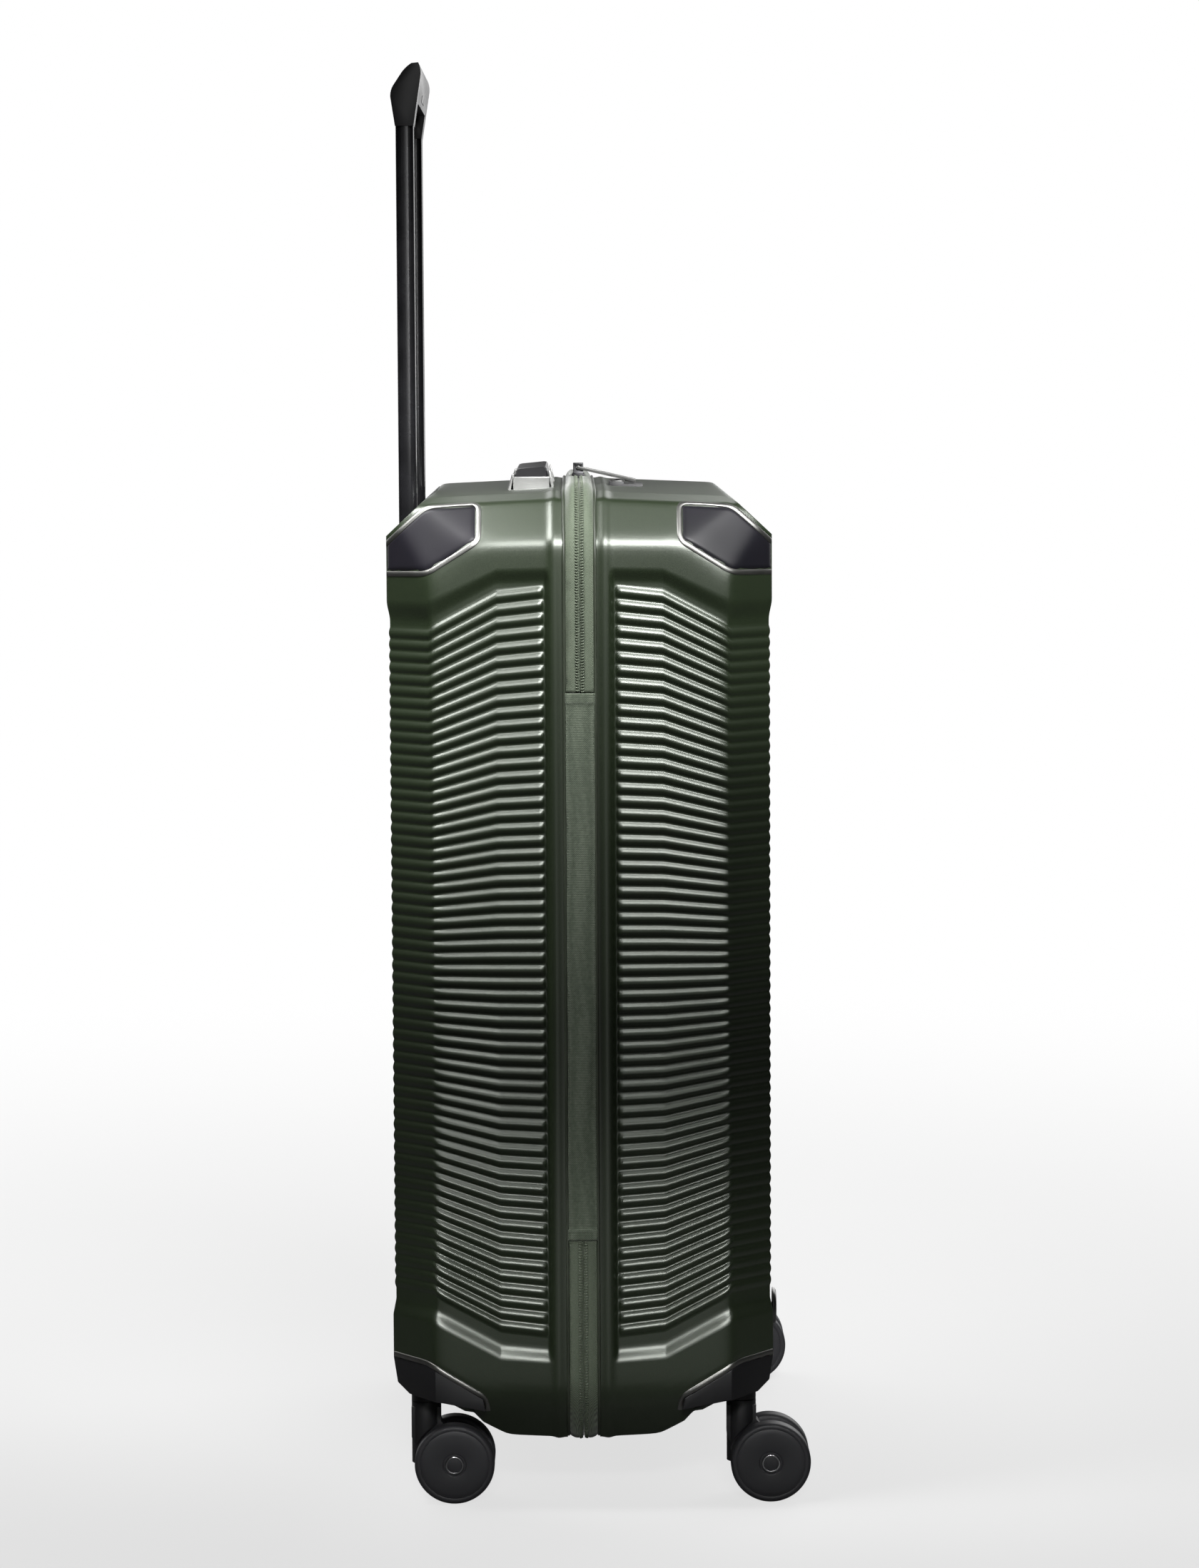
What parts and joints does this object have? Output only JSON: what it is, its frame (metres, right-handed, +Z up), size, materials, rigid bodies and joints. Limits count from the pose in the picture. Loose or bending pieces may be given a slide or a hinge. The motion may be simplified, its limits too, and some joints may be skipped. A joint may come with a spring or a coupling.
{
  "type": "hard shell suitcase",
  "caption": "Upright hard shell suitcase with ribbed shells, faceted corners, zip, combination lock, pull-out trolley handle and twin-wheel swivel casters.",
  "frame": {"origin": "on the floor that the wheels stand on, under the middle of the bounding box with the trolley pulled out", "axes": "+Z up, +X across the case away from the hinge strip, -Y out of the front shell, +Y out of the back face beside the trolley"},
  "size_m": [0.5132, 0.312, 1.0775],
  "materials": {
    "shell_olive": "satin, fine metallic",
    "pad_charcoal": "matt",
    "trim_gunmetal": "satin",
    "lining_fabric": "woven",
    "zip_tape": "twill",
    "zip_coil": "gloss",
    "tube_black": "anodised",
    "handle_black": "gloss",
    "part_black": "matt",
    "bracket_silver": "satin",
    "wheel_grey": "matt",
    "axle_silver": "brushed",
    "metal_gunmetal": "satin",
    "dial_black": "matt",
    "strap_fabric": "webbing"
  },
  "bodies": {
    "back_case": {"back_shell": "shell_olive", "back_lining": "lining_fabric", "back_zip_tape": "zip_tape", "back_zip_coil": "zip_coil", "corner_pad_back_hinge_side": "pad_charcoal", "corner_pad_back_far_side": "pad_charcoal", "trim_frames_back": "trim_gunmetal", "caster_housing_back_hinge_side": "part_black", "caster_housing_back_far_side": "part_black", "hinge_strip": "zip_tape", "trolley_outer_tubes": "metal_gunmetal", "trolley_socket": "part_black", "trolley_base_bracket": "part_black", "top_handle_brackets": "bracket_silver", "side_handle_cup": "part_black", "packing_straps": "strap_fabric", "strap_buckle": "part_black"},
    "front_case": {"front_shell": "shell_olive", "front_lining": "lining_fabric", "front_zip_tape": "zip_tape", "front_zip_coil": "zip_coil", "corner_pad_front_hinge_side": "pad_charcoal", "corner_pad_front_far_side": "pad_charcoal", "trim_frames_front": "trim_gunmetal", "caster_housing_front_hinge_side": "part_black", "caster_housing_front_far_side": "part_black", "lock_body": "part_black", "blank_badge": "metal_gunmetal"},
    "trolley": {"trolley_inner_tubes": "tube_black", "trolley_grip": "handle_black"},
    "trolley_button": {"grip_button": "part_black", "trolley_push_rods": "axle_silver"},
    "trolley_pins": {"trolley_lock_pins": "axle_silver"},
    "top_handle": {"top_handle_grip": "handle_black"},
    "side_handle": {"side_handle_grip": "handle_black"},
    "lock_button": {"lock_button": "metal_gunmetal"},
    "zip_slider_hinge_side": {"zip_slider_hinge_side": "metal_gunmetal"},
    "zip_pull_hinge_side": {"zip_pull_hinge_side": "metal_gunmetal"},
    "zip_slider_far_side": {"zip_slider_far_side": "metal_gunmetal"},
    "zip_pull_far_side": {"zip_pull_far_side": "metal_gunmetal"},
    "lock_dial_1": {"lock_dial_1": "dial_black"},
    "lock_dial_2": {"lock_dial_2": "dial_black"},
    "lock_dial_3": {"lock_dial_3": "dial_black"},
    "caster_back_hinge_side": {"caster_fork_back_hinge_side": "part_black", "caster_axle_back_hinge_side": "axle_silver"},
    "wheel_back_hinge_side_left": {"wheel_back_hinge_side_left": "wheel_grey"},
    "wheel_back_hinge_side_right": {"wheel_back_hinge_side_right": "wheel_grey"},
    "caster_back_far_side": {"caster_fork_back_far_side": "part_black", "caster_axle_back_far_side": "axle_silver"},
    "wheel_back_far_side_left": {"wheel_back_far_side_left": "wheel_grey"},
    "wheel_back_far_side_right": {"wheel_back_far_side_right": "wheel_grey"},
    "caster_front_hinge_side": {"caster_fork_front_hinge_side": "part_black", "caster_axle_front_hinge_side": "axle_silver"},
    "wheel_front_hinge_side_left": {"wheel_front_hinge_side_left": "wheel_grey"},
    "wheel_front_hinge_side_right": {"wheel_front_hinge_side_right": "wheel_grey"},
    "caster_front_far_side": {"caster_fork_front_far_side": "part_black", "caster_axle_front_far_side": "axle_silver"},
    "wheel_front_far_side_left": {"wheel_front_far_side_left": "wheel_grey"},
    "wheel_front_far_side_right": {"wheel_front_far_side_right": "wheel_grey"}
  },
  "joints": [
    {"name": "case_hinge", "type": "hinge", "parent": "back_case", "child": "front_case", "pos_m": [-0.2585, 0.014, 0.4], "axis": [0, 0, -1], "range_deg": [0, 180], "deforming": ["hinge_strip"]},
    {"name": "trolley_slide", "type": "slide", "parent": "back_case", "child": "trolley", "axis": [0, 0, 1], "range_m": [-0.33, 0]},
    {"name": "grip_button_press", "type": "slide", "parent": "trolley", "child": "trolley_button", "axis": [0, 0, -1], "range_m": [0, 0.004], "stiffness_N_per_m": 900, "springref_m": -0.002},
    {"name": "lock_pins_slide", "type": "slide", "parent": "trolley", "child": "trolley_pins", "axis": [0, 1, 0], "range_m": [0, 0.002]},
    {"name": "top_handle_lift", "type": "slide", "parent": "back_case", "child": "top_handle", "axis": [0, 0, 1], "range_m": [0, 0.004], "stiffness_N_per_m": 150, "springref_m": -0.002},
    {"name": "side_handle_pull", "type": "slide", "parent": "back_case", "child": "side_handle", "axis": [1, 0, 0], "range_m": [0, 0.012], "stiffness_N_per_m": 150, "springref_m": -0.002},
    {"name": "lock_button_press", "type": "slide", "parent": "front_case", "child": "lock_button", "axis": [0, 0, -1], "range_m": [0, 0.0015], "stiffness_N_per_m": 300, "springref_m": -0.001},
    {"name": "zip_slide_hinge_side", "type": "slide", "parent": "front_case", "child": "zip_slider_hinge_side", "axis": [-1, 0, 0], "range_m": [0, 0.15]},
    {"name": "zip_pull_hinge_side_swing", "type": "hinge", "parent": "zip_slider_hinge_side", "child": "zip_pull_hinge_side", "pos_m": [-0.011, 0.014, 0.77], "axis": [-1, 0, 0], "range_deg": [0, 110]},
    {"name": "zip_slide_far_side", "type": "slide", "parent": "front_case", "child": "zip_slider_far_side", "axis": [1, 0, 0], "range_m": [0, 0.15]},
    {"name": "zip_pull_far_side_swing", "type": "hinge", "parent": "zip_slider_far_side", "child": "zip_pull_far_side", "pos_m": [0.011, 0.014, 0.77], "axis": [-1, 0, 0], "range_deg": [0, 110]},
    {"name": "lock_dial_1_turn", "type": "hinge", "parent": "front_case", "child": "lock_dial_1", "pos_m": [0.027, -0.017, 0.755], "axis": [1, 0, 0], "continuous": true},
    {"name": "lock_dial_2_turn", "type": "hinge", "parent": "front_case", "child": "lock_dial_2", "pos_m": [0.0205, -0.017, 0.755], "axis": [1, 0, 0], "continuous": true},
    {"name": "lock_dial_3_turn", "type": "hinge", "parent": "front_case", "child": "lock_dial_3", "pos_m": [0.014, -0.017, 0.755], "axis": [1, 0, 0], "continuous": true},
    {"name": "caster_back_hinge_side_swivel", "type": "hinge", "parent": "back_case", "child": "caster_back_hinge_side", "pos_m": [-0.203, 0.1325, 0.084], "axis": [0, 0, 1], "continuous": true},
    {"name": "wheel_back_hinge_side_left_spin", "type": "hinge", "parent": "caster_back_hinge_side", "child": "wheel_back_hinge_side_left", "pos_m": [-0.203, 0.111, 0.03], "axis": [1, 0, 0], "continuous": true},
    {"name": "wheel_back_hinge_side_right_spin", "type": "hinge", "parent": "caster_back_hinge_side", "child": "wheel_back_hinge_side_right", "pos_m": [-0.203, 0.111, 0.03], "axis": [1, 0, 0], "continuous": true},
    {"name": "caster_back_far_side_swivel", "type": "hinge", "parent": "back_case", "child": "caster_back_far_side", "pos_m": [0.203, 0.1325, 0.084], "axis": [0, 0, 1], "continuous": true},
    {"name": "wheel_back_far_side_left_spin", "type": "hinge", "parent": "caster_back_far_side", "child": "wheel_back_far_side_left", "pos_m": [0.203, 0.111, 0.03], "axis": [1, 0, 0], "continuous": true},
    {"name": "wheel_back_far_side_right_spin", "type": "hinge", "parent": "caster_back_far_side", "child": "wheel_back_far_side_right", "pos_m": [0.203, 0.111, 0.03], "axis": [1, 0, 0], "continuous": true},
    {"name": "caster_front_hinge_side_swivel", "type": "hinge", "parent": "front_case", "child": "caster_front_hinge_side", "pos_m": [-0.203, -0.1045, 0.084], "axis": [0, 0, 1], "continuous": true},
    {"name": "wheel_front_hinge_side_left_spin", "type": "hinge", "parent": "caster_front_hinge_side", "child": "wheel_front_hinge_side_left", "pos_m": [-0.203, -0.126, 0.03], "axis": [1, 0, 0], "continuous": true},
    {"name": "wheel_front_hinge_side_right_spin", "type": "hinge", "parent": "caster_front_hinge_side", "child": "wheel_front_hinge_side_right", "pos_m": [-0.203, -0.126, 0.03], "axis": [1, 0, 0], "continuous": true},
    {"name": "caster_front_far_side_swivel", "type": "hinge", "parent": "front_case", "child": "caster_front_far_side", "pos_m": [0.203, -0.1045, 0.084], "axis": [0, 0, 1], "continuous": true},
    {"name": "wheel_front_far_side_left_spin", "type": "hinge", "parent": "caster_front_far_side", "child": "wheel_front_far_side_left", "pos_m": [0.203, -0.126, 0.03], "axis": [1, 0, 0], "continuous": true},
    {"name": "wheel_front_far_side_right_spin", "type": "hinge", "parent": "caster_front_far_side", "child": "wheel_front_far_side_right", "pos_m": [0.203, -0.126, 0.03], "axis": [1, 0, 0], "continuous": true}
  ],
  "couplings": [
    {"joint": "lock_pins_slide", "follows": "grip_button_press", "ratio": 0.5}
  ]
}
